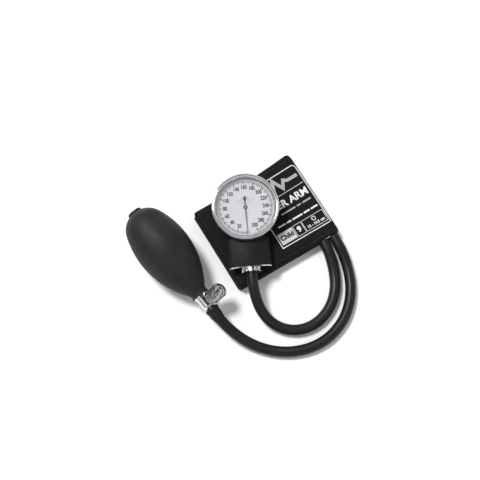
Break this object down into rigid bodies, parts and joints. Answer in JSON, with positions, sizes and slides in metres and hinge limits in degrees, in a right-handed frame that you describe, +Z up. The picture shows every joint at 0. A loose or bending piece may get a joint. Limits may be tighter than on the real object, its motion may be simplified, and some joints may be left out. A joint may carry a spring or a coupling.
{
  "type": "aneroid blood pressure cuff set",
  "caption": "Folded black limb cuff with a dial pressure gauge lying on it and a rubber squeeze bulb joined to it by flexible hoses.",
  "frame": {"origin": "centre of the folded cuff's underside, on the table", "axes": "+X along the folded cuff's length, towards its right-hand fold; +Y across it, away from the hoses; +Z up"},
  "size_m": [0.1533, 0.1703, 0.045],
  "materials": {
    "nylon": "matte weave",
    "loop_tape": "soft pile",
    "hook_tape": "rough hooks",
    "webbing": "ribbed weave",
    "bladder_rubber": "matte",
    "hose_rubber": "satin",
    "bulb_rubber": "matte",
    "gasket_rubber": "matte",
    "chrome": "polished",
    "black_enamel": "gloss",
    "brass": "satin",
    "bronze": "satin",
    "copper": "polished",
    "spring_steel": "satin",
    "glass": "polished",
    "dial_white": "satin",
    "needle_black": "satin"
  },
  "bodies": {
    "set": {"cuff_top_panel": "nylon", "bladder": "bladder_rubber", "gauge_loop": "webbing", "gauge_case": "black_enamel", "end_plate": "chrome", "gauge_nipple": "brass", "inlet_nut": "chrome", "pressure_pipe": "brass", "clip_plate": "spring_steel", "clip_screws": "spring_steel", "bezel": "chrome", "lens": "glass", "lens_gasket": "gasket_rubber", "dial_plate": "dial_white", "dial_posts": "brass", "shaft_brackets": "brass", "base_plate": "brass", "top_plate": "brass", "movement_pillars": "brass", "base_posts": "brass", "capsule_bottom": "bronze", "capsule_top": "bronze", "capsule_stem": "brass", "hairspring": "bronze", "inflation_bulb": "bulb_rubber", "intake_seat": "chrome", "intake_screen": "spring_steel", "intake_retainer": "brass", "valve_body": "chrome", "outlet_seat": "brass", "outlet_stop": "brass", "packing_nut": "chrome", "gauge_hose": "hose_rubber", "bulb_hose": "hose_rubber"},
    "needle_train": {"needle": "needle_black", "needle_hub": "copper", "needle_arbor": "spring_steel", "needle_pinion": "brass"},
    "sector": {"sector_gear": "brass", "sector_arbor": "spring_steel"},
    "rocker": {"rocking_shaft": "spring_steel"},
    "pusher": {"capsule_pusher": "spring_steel"},
    "seal": {"valve_seal": "gasket_rubber"},
    "knob": {"valve_knob": "chrome", "valve_screw": "brass"},
    "ball": {"intake_ball": "spring_steel"},
    "check_disc": {"outlet_disc": "gasket_rubber"},
    "tail": {"cuff_tail_panel": "nylon", "loop_patch": "loop_tape"},
    "tip": {"cuff_tail_tip": "nylon", "hook_patch": "hook_tape"}
  },
  "joints": [
    {"name": "needle_turn", "type": "hinge", "parent": "set", "child": "needle_train", "pos_m": [-0.01123, 0.01367, 0.03202], "axis": [0.045, 0.0943, -0.9945], "range_deg": [0, 338.25]},
    {"name": "sector_rock", "type": "hinge", "parent": "set", "child": "sector", "pos_m": [-0.00819, 0.03026, 0.02961], "axis": [-0.045, -0.0943, 0.9945], "range_deg": [0, 33.9]},
    {"name": "rocking_shaft_turn", "type": "hinge", "parent": "set", "child": "rocker", "pos_m": [-0.01488, 0.01624, 0.02486], "axis": [-0.4282, -0.8976, -0.1045], "range_deg": [0, 19.6]},
    {"name": "pusher_rise", "type": "slide", "parent": "set", "child": "pusher", "axis": [-0.045, -0.0943, 0.9945], "range_m": [0, 0.00141]},
    {"name": "valve_seal_travel", "type": "slide", "parent": "set", "child": "seal", "axis": [0.7681, 0.039, 0.6391], "range_m": [0, 0.001]},
    {"name": "valve_knob_turn", "type": "hinge", "parent": "seal", "child": "knob", "pos_m": [-0.07633, -0.03457, 0.01682], "axis": [0.7681, 0.039, 0.6391], "range_deg": [0, 720]},
    {"name": "intake_ball_lift", "type": "slide", "parent": "set", "child": "ball", "axis": [0.1384, -0.9847, -0.1063], "range_m": [0, 0.0008]},
    {"name": "outlet_disc_lift", "type": "slide", "parent": "set", "child": "check_disc", "axis": [0.1384, -0.9847, -0.1063], "range_m": [0, 0.0006]},
    {"name": "tail_unfold", "type": "hinge", "parent": "set", "child": "tail", "pos_m": [0.0472, 0, 0.00725], "axis": [0, -1, 0], "range_deg": [0, 180]},
    {"name": "tail_tip_unfold", "type": "hinge", "parent": "tail", "child": "tip", "pos_m": [-0.0469, 0, 0.00355], "axis": [0, 1, 0], "range_deg": [0, 180]}
  ],
  "couplings": [
    {"joint": "sector_rock", "follows": "needle_turn", "ratio": 0.1},
    {"joint": "rocking_shaft_turn", "follows": "needle_turn", "ratio": 0.05765},
    {"joint": "pusher_rise", "follows": "needle_turn", "m_per_rad": 0.00023714},
    {"joint": "valve_seal_travel", "follows": "valve_knob_turn", "m_per_rad": 0.000079577},
    {"joint": "tail_tip_unfold", "follows": "tail_unfold", "ratio": 1}
  ]
}
